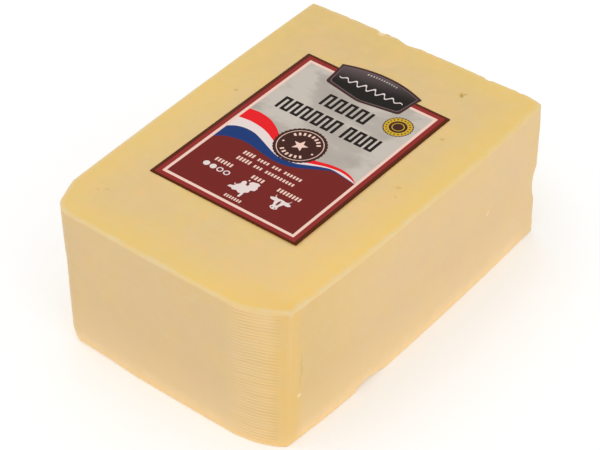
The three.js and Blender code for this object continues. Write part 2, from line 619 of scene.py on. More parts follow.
class Plan:
    """The columns of the block's wall: a loop of points with what is known at each."""

    def __init__(self, settings):
        self._walk(settings)
        self.outward = outward(self.loop)
        self.along = distances(self.loop)
        self.around = self.along[-1] + np.linalg.norm(self.loop[0] - self.loop[-1])
        self.from_upright = self._distance_from("upright")
        self.ridged = self._ridge_strength()

    def _walk(self, settings):
        """The loop's points and names, with a small turn at each sharp upright edge."""
        sides = plan_sides()
        loop, names = [], []
        for k, side in enumerate(sides):
            before, after = sides[k - 1], sides[(k + 1) % len(sides)]
            skip_start = settings.upright_radius * before.sharp_end
            skip_end = settings.upright_radius * side.sharp_end
            part = respaced(side.line, side.step * settings.column_step, skip_start, skip_end)
            loop.append(part if side.sharp_end else part[:-1])
            names += [side.name] * len(loop[-1])
            if side.sharp_end:
                opening = points_along(after.line, [settings.upright_radius])[0]
                turn = bezier([part[-1], side.line[-1], opening], EDGE_STEPS + 1)
                loop.append(turn[1:-1])
                names += ["upright" if n == EDGE_STEPS // 2 else "turn" for n in range(EDGE_STEPS)]
        self.loop = np.vstack(loop)
        self.names = np.array(names)

    def _distance_from(self, name):
        """Distance along the loop from each column to the nearest one of that name."""
        gap = np.abs(self.along[:, None] - self.along[self.names == name])
        return np.minimum(gap, self.around - gap).min(axis=1)

    def _ridge_strength(self):
        """1 on the columns that the mould ridged, and less where the ridges fade out."""
        front = np.isin(self.names, ("front corner", "bar"))
        front = front * (1 - smoothstep(self.from_upright, 14 * MM, 27 * MM))
        front = front * smoothstep(self.from_upright, 1.5 * MM, 4.5 * MM)
        left = 1 - smoothstep(self._distance_from("left corner"), 0, 5 * MM)
        return np.maximum(front, 0.5 * left)


def top_swell(x, y):
    """How far the cut top rises or sinks at a place, in metres. The label follows it too."""
    return 0.14 * MM * ripple(x, y, 0.05, 4.2) + 0.03 * MM * ripple(x, y, 0.018, 9.1)


class Block:
    """Vertices and faces of the cheese, with the normal and the edge distance at each vertex."""

    def __init__(self, settings):
        self.settings = settings
        self.plan = Plan(settings)
        self.points, self.normals, self.edge, self.ridged = [], [], [], []
        self.faces = []
        self._wall()
        self._cap(top=True)
        self._cap(top=False)
        self.points = np.vstack(self.points)
        self.normals = np.vstack(self.normals)
        self.edge = np.concatenate(self.edge)
        self.ridged = np.concatenate(self.ridged)
        self._swell()
        self._ridges()
        self._lean()
        self._tear()
        self._dents()
        self._eyes()

    def _rows(self):
        """(height, inset, tilt) of each ring of the wall, from the bottom to the top.

        Tilt is -1 where the surface faces down, 0 on the wall and 1 where it faces up.
        """
        radius = self.settings.edge_radius
        turns = np.linspace(math.pi / 2, 0, EDGE_STEPS + 1)[:-1]
        foot = [
            (radius * (1 - math.sin(turn)), radius * (1 - math.cos(turn)), -math.sin(turn))
            for turn in turns
        ]
        count = self.settings.ridges * STEPS_PER_RIDGE + 1
        wall = [(z, 0.0, 0.0) for z in np.linspace(radius, HEIGHT - radius, count)]
        head = [(HEIGHT - z, inset, -tilt) for z, inset, tilt in reversed(foot)]
        return [*foot, *wall, *head]

    def _wall(self):
        """The wall and its rounded edges, ring upon ring."""
        plan = self.plan
        rows = self._rows()
        columns = len(plan.loop)
        for z, inset, tilt in rows:
            ring = plan.loop - plan.outward * inset
            level = math.sqrt(max(0.0, 1 - tilt * tilt))
            self.points.append(np.column_stack([ring, np.full(columns, z)]))
            self.normals.append(np.column_stack([plan.outward * level, np.full(columns, tilt)]))
            self.edge.append(np.minimum(plan.from_upright, min(z, HEIGHT - z)))
            self.ridged.append(plan.ridged)
        for base in range(0, (len(rows) - 1) * columns, columns):
            for k in range(columns):
                after = (k + 1) % columns
                above = base + columns
                self.faces.append((base + k, base + after, above + after, above + k))
        self.top_ring = (len(rows) - 1) * columns

    def _cap(self, top):
        """The cut top, or the bottom, inside the wall's last ring or its first one."""
        ring = self.top_ring if top else 0
        step = self.settings.cap_step if top else BOTTOM_CAP * self.settings.cap_step
        loop = self.plan.loop - self.plan.outward * self.settings.edge_radius
        inner = lattice(loop, step, 0.6 * step)
        if top:
            inner = with_rings(inner)
        columns = len(loop)
        start = sum(len(points) for points in self.points)
        count = len(inner)
        self.points.append(np.column_stack([inner, np.full(count, HEIGHT if top else 0.0)]))
        self.normals.append(np.tile([0, 0, 1.0 if top else -1.0], (count, 1)))
        self.edge.append(distance_to(inner, loop))
        self.ridged.append(np.zeros(count))
        for face in fill_loop(loop, inner):
            ids = [ring + v if v < columns else start + v - columns for v in face]
            self.faces.append(ids if top else ids[::-1])

    def _swell(self):
        """The sides swell and sink a little, the top follows its cut, and the bottom stays flat."""
        broad = waves(self.points, 42 * MM, seed=1)
        sides = broad + 0.35 * waves(self.points, 15 * MM, seed=2)
        lift = smoothstep(self.points[:, 2], 0, 8 * MM) * (1 - np.abs(self.normals[:, 2]))
        self.points += self.normals * (sides * lift * self.settings.swell)[:, None]
        cut = np.array([top_swell(x, y) for x, y in self.points[:, :2]])
        self.points[:, 2] += cut * smoothstep(self.points[:, 2], HEIGHT - 12 * MM, HEIGHT)

    def _ridges(self):
        """Fine level ridges from the mould round the two soft upright corners."""
        z = self.points[:, 2]
        radius = self.settings.edge_radius
        level = (z - radius) / (HEIGHT - 2 * radius) * self.settings.ridges
        strength = self.ridged * (0.75 + 0.35 * waves(self.points, 12 * MM, seed=5))
        strength *= 1 + 0.6 * waves(self.points * RIDGE_GRAIN, 1.9 * MM, seed=6)
        strength *= smoothstep(np.minimum(z, HEIGHT - z), 0.6 * MM, 2.5 * MM)
        self.groove = strength * (0.5 + 0.5 * np.cos(2 * math.pi * level)) ** 1.3
        self.points -= self.normals * (self.groove * self.settings.ridge_depth)[:, None]

    def _lean(self):
        """The cut end leans out a little towards its foot."""
        share = smoothstep(self.points[:, 1], 0.4 * HALF_LENGTH, HALF_LENGTH)
        self.points[:, 1] += 0.3 * MM * share * (1 - self.points[:, 2] / HEIGHT)

    def _tear(self):
        """The top edge of the cut end is ragged."""
        beside = 1 - smoothstep(self.edge, 0.2 * MM, 1.6 * MM)
        beside *= smoothstep(self.points[:, 2], HEIGHT - 2 * MM, HEIGHT - 0.4 * MM)
        beside *= smoothstep(self.points[:, 1], 0.94 * HALF_LENGTH, 0.97 * HALF_LENGTH)
        coarse = waves(self.points, 3.1 * MM, seed=7)
        ragged = coarse + 0.5 * waves(self.points, 1.4 * MM, seed=8)
        self.torn = beside * np.clip(ragged, 0, 1)
        self.points[:, 1] -= 0.35 * MM * self.torn
        self.points[:, 2] -= 0.15 * MM * self.torn

    def _dents(self):
        """Dents, chips and bulges, each fading out from its middle."""
        for dent in DENTS:
            gap = (self.points / MM - dent.centre) / dent.reach
            share = np.clip(1 - (gap * gap).sum(axis=1), 0, 1) ** dent.crisp
            self.points += share[:, None] * np.array(dent.push) * MM

    def _eyes(self):
        """Small openings in the cut top and in the cut end."""
        self.eye = np.zeros(len(self.points))
        top = self.normals[:, 2] > 0.99
        end = self.normals[:, 1] > 0.95
        for eyes, facing, plane, axis in ((EYES, top, (0, 1), 2), (END_EYES, end, (0, 2), 1)):
            for eye in eyes:
                gap = eye_gap(self.points[:, plane] / MM, eye)
                hollow = np.where(facing, np.clip(1 - gap * gap, 0, 1) ** 0.7, 0)
                self.points[:, axis] -= hollow * eye.depth * MM
                self.eye = np.maximum(self.eye, hollow * min(1.0, 2 * eye.depth))


def eye_gap(places, eye):
    """How far each place is from an eye's middle, as a share of the eye's own reach."""
    turn = math.radians(eye.turn)
    gap = places - (eye.x, eye.y)
    along = gap @ (math.cos(turn), math.sin(turn)) / eye.length
    across = gap @ (-math.sin(turn), math.cos(turn)) / eye.width
    return np.hypot(along, across)


def with_rings(grid):
    """The grid of the top with rings of points round each eye instead of its own there."""
    rings = []
    for eye in EYES:
        grid = grid[eye_gap(grid / MM, eye) > EYE_RINGS[-1] + EYE_CLEAR]
        turn = math.radians(eye.turn)
        spin = np.array([[math.cos(turn), math.sin(turn)], [-math.sin(turn), math.cos(turn)]])
        for share in EYE_RINGS:
            angles = np.linspace(0, 2 * math.pi, EYE_SIDES, endpoint=False) if share else [0]
            ring = share * np.column_stack([np.cos(angles), np.sin(angles)])
            rings.append((ring * (eye.length, eye.width)) @ spin + (eye.x, eye.y))
    return np.vstack([grid, *[ring * MM for ring in rings]])


class CheeseShader(Shader):
    """The shader of the cheese, with the noises and the masks that its layers share."""

    def __init__(self):
        super().__init__(
            "cheese",
            Subsurface_Weight=0.2,
            Subsurface_Radius=(1.0, 0.55, 0.22),
            Subsurface_Scale=2.5 * MM,
            IOR=1.45,
            Specular_IOR_Level=0.35,
        )
        self.edge = self.stored("edge_distance")
        self.height = self.axis("Z")
        self.blotches = self.clouds(16 * MM, 2.0)
        self.patches = self.clouds(7 * MM, 1.0)
        self.curd = self.clouds(4.5 * MM, 2.0)
        self.mottle = self.clouds(1.3 * MM, 3.0)
        self.on_top = self.step(self.height, HEIGHT - 1.2 * MM, HEIGHT - 0.2 * MM)
        self.cut = self.step(self.on_top + self.stored("end"), 0.0, 1.0)  # the top and the far end
        self.front = self.along(-62, -70)
        self.fore_sides = (1 - self.along(58, 74)) * self.across(-52, -44)  # not the far and left

    def across(self, start, end):
        """Rises smoothly from 0 to 1 between two places along X, in millimetres."""
        return self.step(self.axis("X"), start * MM, end * MM)

    def along(self, start, end):
        """Rises smoothly from 0 to 1 between two places along Y, in millimetres."""
        return self.step(self.axis("Y"), start * MM, end * MM)

    def up(self, start, end):
        """Rises smoothly from 0 to 1 between two heights, in millimetres."""
        return self.step(self.height, start * MM, end * MM)

    def layered(self, base, layers):
        """A colour with layers over it, each a share from 0 to 1 and a colour."""
        for share, tint in layers:
            base = self.mix(share, base, tint)
        return base


def cheese_material(colours):
    """Pale yellow cheese: dense and waxy, with a painted golden glow beside its edges and a painted
    highlight on the very edge.
    """
    cheese = CheeseShader()
    layers = [
        *patch_layers(cheese, colours),
        *broad_layers(cheese, colours),
        *foot_layers(cheese, colours),
        *highlight_and_curd_layers(cheese, colours),
        *mark_layers(cheese, colours),
    ]
    return cheese.finish(
        Base_Color=cheese.layered(colours.side, layers),
        Roughness=0.42 + cheese.mottle * 0.16,
        Normal=relief(cheese),
    )


def patch_layers(cheese, colours):
    """The cut faces' own colour, then golden and blushed patches and pale streaks."""
    golden = cheese.step(cheese.blotches, 0.42, 0.7) * (0.16 + cheese.cut * 0.16)
    blushed = cheese.step(cheese.patches, 0.5, 0.72) * (0.12 + cheese.cut * 0.25)
    streaks = cheese.step(cheese.clouds(4 * MM, 2.0, (0.22, 1.4, 1.4)), 0.62, 0.74)
    return [
        (cheese.cut, colours.heart),
        (golden, colours.gold),
        (blushed, colours.blush),
        (streaks * 0.16, colours.pale),
    ]


def broad_layers(cheese, colours):
    """Painted golden glow beside the edges, painted shade on the far end of the top, a darker front
    of the sides, the warmer near right, and painted light on the near top.
    """
    # Painted glow: the cheese is golden beside its edges, as if lit through them.
    warmth = 1 - cheese.step(cheese.edge + (cheese.blotches - 0.5) * 14 * MM, 0.0, 17 * MM)
    to_right = cheese.across(-20, 45)
    golden = warmth * (0.1 + cheese.cut * (0.38 + to_right * 0.2))
    # Painted shade: the far end of the top is darker, as less light reaches it.
    far = cheese.on_top * cheese.along(0, 70) * (1 - to_right * 0.7)
    far = far * (0.24 + cheese.step(cheese.patches, 0.7, 0.3) * 0.16)
    # The front of the sides is darker.
    fore = cheese.along(-28, -60) * (1 - cheese.on_top) * (0.25 + cheese.across(49, 51.5) * 0.17)
    right = cheese.across(49, 51.5) * (1 - cheese.on_top)
    orange = right * (cheese.along(10, -64) * 0.24 + cheese.up(40, 56) * 0.08)
    # Painted light: the near top is lit warmer.
    lit = cheese.on_top * cheese.across(0, 42) * cheese.along(25, -55)
    return [
        (golden, colours.gold),
        (far + fore, colours.shade_and_dull),
        (orange, colours.rim),
        (lit * 0.22, colours.glow),
    ]


def foot_layers(cheese, colours):
    """Painted light that comes up through the foot, the golden front corner, and more painted light
    on its ridged part.
    """
    # Painted bounce light from the floor, up the foot of the sides, strongest on the near sides.
    level = cheese.height + (cheese.curd - 0.5) * 4 * MM
    high_foot = 1 - cheese.step(level, -4 * MM, 27 * MM)
    low_foot = 1 - cheese.step(level, -1 * MM, 9 * MM)
    low_light = high_foot * 0.4 + low_foot * 0.5
    low_light = low_light * (0.4 + cheese.fore_sides * (0.6 - cheese.front * 0.12))
    ridged = cheese.across(26, 38) * cheese.across(50, 43)
    very_foot = 1 - cheese.up(0.5, 5)
    return [
        (low_light, colours.foot),
        (front_corner(cheese) * 0.67, colours.rim),
        # Painted light on the ridged part of the front corner.
        (ridged * cheese.front * (1 - cheese.on_top) * 0.32, colours.foot),
        # Painted warm glow in the very foot.
        (very_foot * cheese.fore_sides * 0.4, colours.glow),
    ]


def front_corner(cheese):
    """1 on the golden part round the front upright edge, and 0 away from it."""
    place = cheese.axis("X") + (cheese.blotches - 0.5) * 12 * MM
    return cheese.step(place, 24 * MM, 54 * MM) * cheese.along(-59, -66)


def highlight_and_curd_layers(cheese, colours):
    """A painted highlight on the very edge, most of all beside the top, and faint pale curds all
    over.
    """
    # Painted highlight: the very edge is paler, most of all beside the top and near the front.
    very_edge = 1 - cheese.step(cheese.edge + (cheese.mottle - 0.5) * 0.6 * MM, 0.2 * MM, 1.5 * MM)
    beside_top = cheese.step(cheese.height, HEIGHT - 3.1 * MM, HEIGHT - 1.5 * MM)
    near = 1 - 0.6 * cheese.along(-30, 50)
    edge_highlight = cheese.up(12, 45) * 0.14 + beside_top * near * 0.36
    edge_highlight = edge_highlight * (0.8 + cheese.step(cheese.curd, 0.38, 0.62) * 0.4)
    return [
        (very_edge * edge_highlight, colours.pale),
        (cheese.step(cheese.curd, 0.35, 0.8) * 0.12, colours.pale),
    ]


def mark_layers(cheese, colours):
    """Small marks, painted shade beside a crease, the ragged edge, painted shade in the grooves and
    the openings.
    """
    return [
        (fresh_marks(cheese) * 0.6, colours.fresh),
        # Painted shadow beside the pale crease, in the eye colour.
        (crease(cheese, CREASE_SHADOW), colours.eye),
        (cheese.stored("torn") * 0.7, colours.blush),
        # Painted shade in the grooves between the ridges.
        (cheese.stored("groove") * 0.43, scaled(colours.rim, 0.68)),
        (cheese.stored("eye") * 0.85, colours.eye),
    ]


def fresh_marks(cheese):
    """1 on a crumb, a short streak and a chip that show the paler inside, less on a crease."""
    total = crease(cheese, PALE_CREASE)
    for spot in (CRUMB, *STREAKS, FRESH_CHIP):
        total = total + cheese.near(*spot)
    return cheese.step(total, 0.0, 1.0)


def crease(cheese, line):
    """How strong a faint upright crease in the right side is, from 0 to its strength."""
    drift = (cheese.clouds(7 * MM, 3.0) - 0.5) * 5 * MM
    gap = cheese.axis("Y") + drift - line.along
    away = cheese.node("ShaderNodeMath", {"operation": "ABSOLUTE"}, {0: gap})
    on_line = cheese.step(away, 0.4 * MM, 0.1 * MM)
    low_end = cheese.step(cheese.height, line.low, line.low + 5 * MM)
    high_end = cheese.step(cheese.height, line.high, line.high - 9 * MM)
    return on_line * (low_end * high_end) * cheese.across(46, 49) * line.strength


def relief(cheese):
    """A fine tooth and soft curds all over, with the knife's drag on the cut faces."""
    tooth = cheese.bump(cheese.clouds(0.6 * MM, 3.0), 0.025 * MM)
    curds = cheese.bump(cheese.curd, 0.14 * MM, tooth)
    drag = cheese.clouds(2.2 * MM, 2.0, (0.1, 1, 1))
    return cheese.bump(drag * cheese.cut, 0.07 * MM, curds)


class CHEESE_OT_block(bpy.types.Operator):
    """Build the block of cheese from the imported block's size"""

    bl_idname = "cheese.block"
    bl_label = "Cheese block"

    def execute(self, context):
        settings = context.scene.cheese
        block = Block(settings)
        piece = new_piece("cheese", block.points, block.faces, [cheese_material(settings)])
        stores = {
            "edge_distance": block.edge,
            "groove": block.groove,
            "eye": block.eye,
            "torn": block.torn,
            "end": smoothstep(block.normals[:, 1], 0.5, 0.9),
        }
        for name, values in stores.items():
            layer = piece.data.attributes.new(name, "FLOAT", "POINT")
            layer.data.foreach_set("value", values.astype(np.float32))
        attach(piece, BODY)
        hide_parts("cheese_block")
        return {"FINISHED"}


# ---------------------------------------------------------------------------------------------
# The label
# ---------------------------------------------------------------------------------------------

# The label's own plan is in millimetres from its lower left corner, with v towards +Y.
LABEL_WIDTH = (LABEL_HIGH.x - LABEL_LOW.x) / MM
LABEL_TOP = (LABEL_HIGH.y - LABEL_LOW.y) / MM
TAB_RISE = 3.6  # of the arch, from its shoulders
TAB_SHOULDER = 2.6  # from the label's straight top edge
TAB_HALF = 17.9
TAB_MIDDLE = LABEL_WIDTH / 2 - 0.3
LABEL_LENGTH = LABEL_TOP - TAB_RISE + 0.025 - TAB_SHOULDER
MARGIN_LEFT = 0.3  # how far the dark outline runs out past the sheet's nominal sides
MARGIN_RIGHT = 0.45
FOOT_SHIFT = 0.25  # of the lower left corner to the right, on a sheet cut a little askew
FOOT_DROP = 0.85  # of the lower left corner
FOOT_RISE = 0.6  # of the lower edge, from its left end to its right end
CORNER_LIFT = 0.45  # of the front corner off the cheese
RULE_HALF = 14.2  # of the wavy rule on the plaque
RULE_PITCH = 4.1
TICKS = 12  # above the wavy rule
TICK_PITCH = 1.15
SHEET_STEP = 2.5  # spacing of the mesh on the sheet
SHEET_MARGIN = 0.8  # from the sheet's edge to the first of its inner points

# The ribbon's stripes and the ground below them, each with a line through points of its top.
RIBBON = (
    ("scarlet", ((4, 48.2), (8.5, 48.7), (13.9, 47.8), (18.8, 45.3), (22.4, 42.8), (31.7, 38.6),
                 (36.7, 38.3), (41.7, 39.4), (46.7, 40.7), (51.7, 41.0), (56, 40.0), (59, 37.9))),
    ("white", ((4, 42.1), (8.9, 42.7), (13.9, 42.3), (18.1, 41.1), (22.4, 39.1), (31.7, 35.3),
               (36.7, 35.6), (41.7, 37.4), (46, 38.9), (51, 39.7), (55.3, 39.2), (59, 37.7))),
    ("blue", ((4, 35.6), (6.7, 37.5), (10.3, 38.5), (14.6, 38.3), (18.8, 36.9), (27.4, 33.5),
              (31.7, 33.0), (36.7, 33.9), (41, 36.0), (45.3, 38.0), (49.6, 38.9), (59, 37.5))),
    ("ground", ((4, 28.2), (7.4, 30.6), (11.7, 32.0), (16.7, 32.3), (26.7, 30.6), (31.3, 30.3),
                (36, 31.2), (39.6, 32.8), (43.1, 35.0), (46.7, 37.0), (50.3, 38.3), (59, 37.3))),
)

HEADLINE_HIGH = 7.4
HEADLINE = ((21.4, 65.4, 20.3), (9.9, 54.6, 26.3), (38.9, 54.6, 14.2))  # left, low, width
SMALL_WORDS = (  # left, low, blocks of each word, pitch, height
    (18.6, 26.9, (4, 4, 3, 6), 1.30, 1.45),
    (18.6, 23.3, (5, 3, 10), 1.28, 1.45),
    (13.2, 18.3, (6,), 1.30, 1.4),
    (29.4, 18.3, (4,), 1.40, 1.4),
    (40.8, 18.3, (8,), 1.28, 1.4),
    (28.2, 5.5, (7,), 1.05, 1.05),
)
DOTS_LEVEL = 15.3
DOTS = ((12.3, True), (15.3, True), (18.3, False), (21.3, False))  # place and whether it's filled
SPOT_PLACE = (52.1, 72.1)
LAND_PLACE = (30.8, 12.6)
COW_PLACE = (45.5, 13.6)
SEAL_PLACE = (31.6, 42.6)
SEAL_TICK_TURN = 15.5  # degrees from one of its ticks to the next


class Print(NamedTuple):
    """One printed shape: its outline in the label's plan, and the ink that it is printed in."""

    ink: str
    outline: np.ndarray


def polar(u, v, radius, angles):
    """Points round (u, v) at these angles, at one radius or at a radius for each."""
    return np.column_stack([u + radius * np.cos(angles), v + radius * np.sin(angles)])


def disc(u, v, radius, sides=40):
    """A round patch."""
    return polar(u, v, radius, np.linspace(0, 2 * math.pi, sides, endpoint=False))


def bar(left, low, width, high, radius=None):
    """A bar with round corners. Without a radius its ends are half circles."""
    radius = min(width, high) / 2 if radius is None else radius
    corners = (
        (left + width - radius, low + radius, -90),
        (left + width - radius, low + high - radius, 0),
        (left + radius, low + high - radius, 90),
        (left + radius, low + radius, 180),
    )
    return np.vstack([
        polar(u, v, radius, np.radians(start + np.linspace(0, 90, 6))) for u, v, start in corners
    ])


def oblong(left, low, width, high):
    """A plain rectangle."""
    right, top = left + width, low + high
    return np.array([(left, low), (right, low), (right, top), (left, top)])


def star(u, v, radius, points=5):
    """A plain star with one point up."""
    corners = np.arange(2 * points)
    angles = np.radians(90 + corners * 180 / points)
    return polar(u, v, np.where(corners % 2, 0.42 * radius, radius), angles)


def spoke(u, v, angle, inner, outer, half):
    """A short bar that points away from (u, v)."""
    turn = math.radians(angle)
    out = np.array([math.cos(turn), math.sin(turn)])
    side = np.array([-out[1], out[0]]) * half
    near, far = inner * out, outer * out
    return np.array([near - side, far - side, far + side, near + side]) + (u, v)


def seal_edge(u, v, radius, scallops=36):
    """A round seal with a scalloped edge."""
    angles = np.linspace(0, 2 * math.pi, scallops * 6, endpoint=False)
    return polar(u, v, radius + 0.28 * np.abs(np.cos(angles * scallops / 2)), angles)


def frame_inset(inset):
    """The label's rectangle, this far in from its edge."""
    corner = max(0.3, 0.8 - inset)
    return bar(inset, inset, LABEL_WIDTH - 2 * inset, LABEL_LENGTH - 2 * inset, corner)


def label_outline():
    """The die-cut edge of the label: a rectangle with an arched tab on its top edge."""
    width = LABEL_WIDTH + MARGIN_LEFT + MARGIN_RIGHT
    rectangle = bar(-MARGIN_LEFT, 0, width, LABEL_LENGTH, 0.5)
    half = len(rectangle) // 2
    shoulder = LABEL_LENGTH + TAB_SHOULDER
    arch = bezier([(TAB_HALF, shoulder), (0, shoulder + 2 * TAB_RISE), (-TAB_HALF, shoulder)], 24)
    tab = [(TAB_HALF - 0.5, LABEL_LENGTH), *arch, (-TAB_HALF + 0.5, LABEL_LENGTH)]
    return np.vstack([rectangle[:half], np.array(tab) + (TAB_MIDDLE, 0), rectangle[half:]])


def plaque(inset):
    """The plain dark plaque: an arch above, a blunt point below and slightly tapered sides."""
    shoulder = LABEL_LENGTH + TAB_SHOULDER - 0.1 - 0.55 * inset
    rise = 2 * TAB_RISE - 0.7 * inset
    top = TAB_HALF - 0.1 - inset
    low = TAB_HALF - 1.4 - inset
    foot = LABEL_LENGTH - 9.4 + inset
    point = foot - 3.0
    arch = bezier([(top, shoulder), (0, shoulder + rise), (-top, shoulder)], 24)
    left_turn = bezier([(-low - 0.15, foot + 1.3), (-low, foot), (-low + 1.3, foot - 0.3)], 6)
    bow = bezier([(-2, point + 0.36), (0, point), (2, point + 0.36)], 6)
    right_turn = left_turn[::-1] * (-1, 1)
    return np.vstack([arch, left_turn, bow, right_turn]) + (TAB_MIDDLE, 0)


def meander(left, low, width, high, stroke=1.25, gap=1.0):
    """A plain meander in place of a word: upright strokes joined at the top and foot by turns."""
    strokes = round((width - stroke) / (stroke + gap)) + 1
    pitch = (width - stroke) / (strokes - 1)
    shapes = [bar(left + k * pitch, low, stroke, high, 0.3) for k in range(strokes)]
    for k in range(strokes - 1):
        level = low if k % 2 else low + high - stroke
        shapes.append(bar(left + k * pitch, level, pitch + stroke, stroke, 0.3))
    return [Print("ink", shape) for shape in shapes]


def small_words(left, low, counts, pitch, high):
    """Rows of little blocks in place of small words. A count gives the blocks of each word."""
    prints = []
    place = 0
    for count in counts:
        for k in range(count):
            rise = 1.35 if (place * 3 + k) % 4 == 0 else 1.0
            corner = (left + place * pitch, low)
            prints.append(Print("cream", oblong(*corner, 0.58 * pitch, high * rise)))
            place += 1
        place += 1
    return prints


def wavy_rule():
    """A plain wavy rule across the plaque. Its waves and its width taper off at both ends."""
    span = np.linspace(-RULE_HALF, RULE_HALF, 90)
    taper = np.sqrt(np.clip(1 - (span / (RULE_HALF + 0.1)) ** 2, 0, 1))
    phase = span * 2 * math.pi / RULE_PITCH
    middle = LABEL_LENGTH - 3.9 + 1.25 * taper * np.sin(phase)
    half = 0.12 + 0.30 * taper * (1 + 0.45 * np.sin(phase + 1.2))
    above = np.column_stack([span, middle + half])
    below = np.column_stack([span, middle - half])
    return np.vstack([above, below[::-1]]) + (TAB_MIDDLE, 0)


def plaque_prints():
    """The plaque with a thin line inside its rim, a plain wavy rule and a row of small ticks."""
    prints = [
        Print("rim_ink", plaque(0)),
        Print("steel", plaque(1.05)),
        Print("plaque", plaque(1.35)),
        Print("white", wavy_rule()),
    ]
    for k in range(TICKS):
        across = (k - (TICKS - 1) / 2) * TICK_PITCH
        level = LABEL_LENGTH + 1.3 + TAB_RISE * (1 - (across / TAB_HALF) ** 2) - 1.7
        prints.append(Print("sky", oblong(TAB_MIDDLE + across - 0.26, level, 0.52, 0.8)))
    return prints


def spot_prints(u, v):
    """A yellow spot with a dark rim, a ring of small ticks and a plain dark middle."""
    prints = [Print("seal", seal_edge(u, v, 5.35, 30)), Print("yellow", disc(u, v, 5.15))]
    ticks = [spoke(u, v, angle, 3.95, 4.6, 0.24) for angle in range(0, 360, 18)]
    prints += [Print("seal", tick) for tick in ticks]
    rings = (("seal", 3.35), ("yellow", 2.35), ("seal", 2.0))
    return [*prints, *[Print(ink, disc(u, v, radius)) for ink, radius in rings]]


def wave_below(edge, tops):
    """The field's lower part, up to a smooth line through the tops."""
    left, right = edge, LABEL_WIDTH - edge
    line = smooth_line([(left, tops[0][1]), *tops[1:-1], (right, tops[-1][1])])
    return np.vstack([[(left, edge), (right, edge)], line[::-1]])


def seal_prints(u, v):
    """A round dark seal: a ring, two dots, rows of plain ticks and a plain star."""
    prints = [
        Print("seal", seal_edge(u, v, 9.5)),
        Print("cream", disc(u, v, 8.5, 72)),
        Print("seal", disc(u, v, 8.2, 72)),
        Print("cream", disc(u - 6.4, v - 1.4, 0.42, 16)),
        Print("cream", disc(u + 6.4, v - 1.4, 0.42, 16)),
    ]
    for middle, count in ((90, 8), (270, 6)):
        for k in range(count):
            angle = middle + (k - (count - 1) / 2) * SEAL_TICK_TURN
            prints.append(Print("cream", spoke(u, v, angle, 5.7, 7.2, 0.42)))
    return [*prints, Print("cream", star(u, v - 0.1, 3.1))]


def cow_prints(u, v):
    """A plain cow's head: horns, ears, a tapered face, and a dark blaze and nostrils."""
    horn = smooth_line([(1.2, 1.9), (2.6, 2.3), (3.3, 3.6), (3.0, 2.2), (1.9, 1.1)], 5)
    ear = smooth_line([(1.5, 1.5), (2.9, 1.9), (4.3, 1.3), (3.6, 0.4), (1.9, 0.4)], 5)
    face = smooth_line([(0, 2.2), (-1.6, 1.9), (-1.9, 0.4), (-1.2, -1.6), (-1.5, -2.8), (0, -3.6),
                        (1.5, -2.8), (1.2, -1.6), (1.9, 0.4), (1.6, 1.9), (0, 2.2)], 5)[:-1]
    blaze = smooth_line([(0, 1.6), (-0.45, 0.6), (-0.35, -0.9), (0, -1.4), (0.35, -0.9),
                         (0.45, 0.6), (0, 1.6)], 5)[:-1]
    mirrored = [shape[::-1] * (-1, 1) for shape in (horn, ear)]
    shapes = [Print("white", shape + (u, v)) for shape in (horn, ear, *mirrored, face)]
    nostrils = [Print("ground", disc(u + side * 0.6, v - 2.7, 0.28, 12)) for side in (-1, 1)]
    return [*shapes, Print("ground", blaze + (u, v)), *nostrils]


def land_prints(u, v):
    """A small plain patch of land with a ragged coast, a bay and two islands."""
    coast = ((1.9, 4.7), (0.6, 4.3), (0.2, 3.3), (0.9, 2.4), (0.5, 1.5), (-0.3, 1.9), (-0.6, 3.0),
             (-1.5, 3.5), (-2.3, 2.6), (-2.1, 1.3), (-2.9, 0.3), (-3.4, -0.9), (-4.6, -1.4),
             (-4.9, -2.4), (-3.3, -2.3), (-2.4, -2.9), (-0.9, -2.3), (0.3, -3.0), (1.2, -2.7),
             (1.3, -4.7), (2.1, -4.5), (2.2, -2.9), (2.0, -1.8), (3.1, -0.9), (3.0, 0.4),
             (4.3, 1.0), (4.4, 2.5), (3.9, 3.4), (4.1, 4.4), (3.0, 5.0))
    isles = (disc(-0.6, 4.3, 0.35, 12), disc(-3.6, 0.2, 0.32, 12))
    return [Print("white", shape + (u, v)) for shape in (np.array(coast), *isles)]


def label_prints(settings):
    """Every printed shape, in the order in which they lie on each other."""
    edges = np.cumsum([settings.outline, settings.band, settings.keyline]) / MM
    prints = [
        Print("red", frame_inset(edges[0])),
        Print("cream", frame_inset(edges[1])),
        Print("sky", frame_inset(edges[2])),
    ]
    prints += [Print(ink, wave_below(edges[2], tops)) for ink, tops in RIBBON]
    for left, low, width in HEADLINE:
        prints += meander(left, low, width, HEADLINE_HIGH)
    for words in SMALL_WORDS:
        prints += small_words(*words)
    for u, filled in DOTS:
        prints.append(Print("white", disc(u, DOTS_LEVEL, 1.25, 28)))
        if not filled:
            prints.append(Print("ground", disc(u, DOTS_LEVEL, 0.8, 24)))
    prints += spot_prints(*SPOT_PLACE)
    prints += land_prints(*LAND_PLACE)
    prints += cow_prints(*COW_PLACE)
    prints += seal_prints(*SEAL_PLACE)
    return prints + plaque_prints()


def drawn(point):
    """A point of the label's plan on the sheet, which is cut a little askew at its foot."""
    across = point.x / LABEL_WIDTH
    low = 1 - point.y / LABEL_TOP
    u = point.x + FOOT_SHIFT * low * (1 - across)
    v = point.y - low * (FOOT_DROP - FOOT_RISE * across)
    return LABEL_LOW.x + u * MM, LABEL_LOW.y + v * MM


def label_height(x, y):
    """Height of the sheet's underside at a place: it follows the cheese and lifts at a corner."""
    near_corner = max(0.0, 1 - math.hypot(x - LABEL_HIGH.x, y - LABEL_LOW.y) / (9 * MM))
    gap = 0.07 + 0.03 * ripple(x, y, 0.02, 2.0) + CORNER_LIFT * near_corner**2
    return HEIGHT + top_swell(x, y) + gap * MM


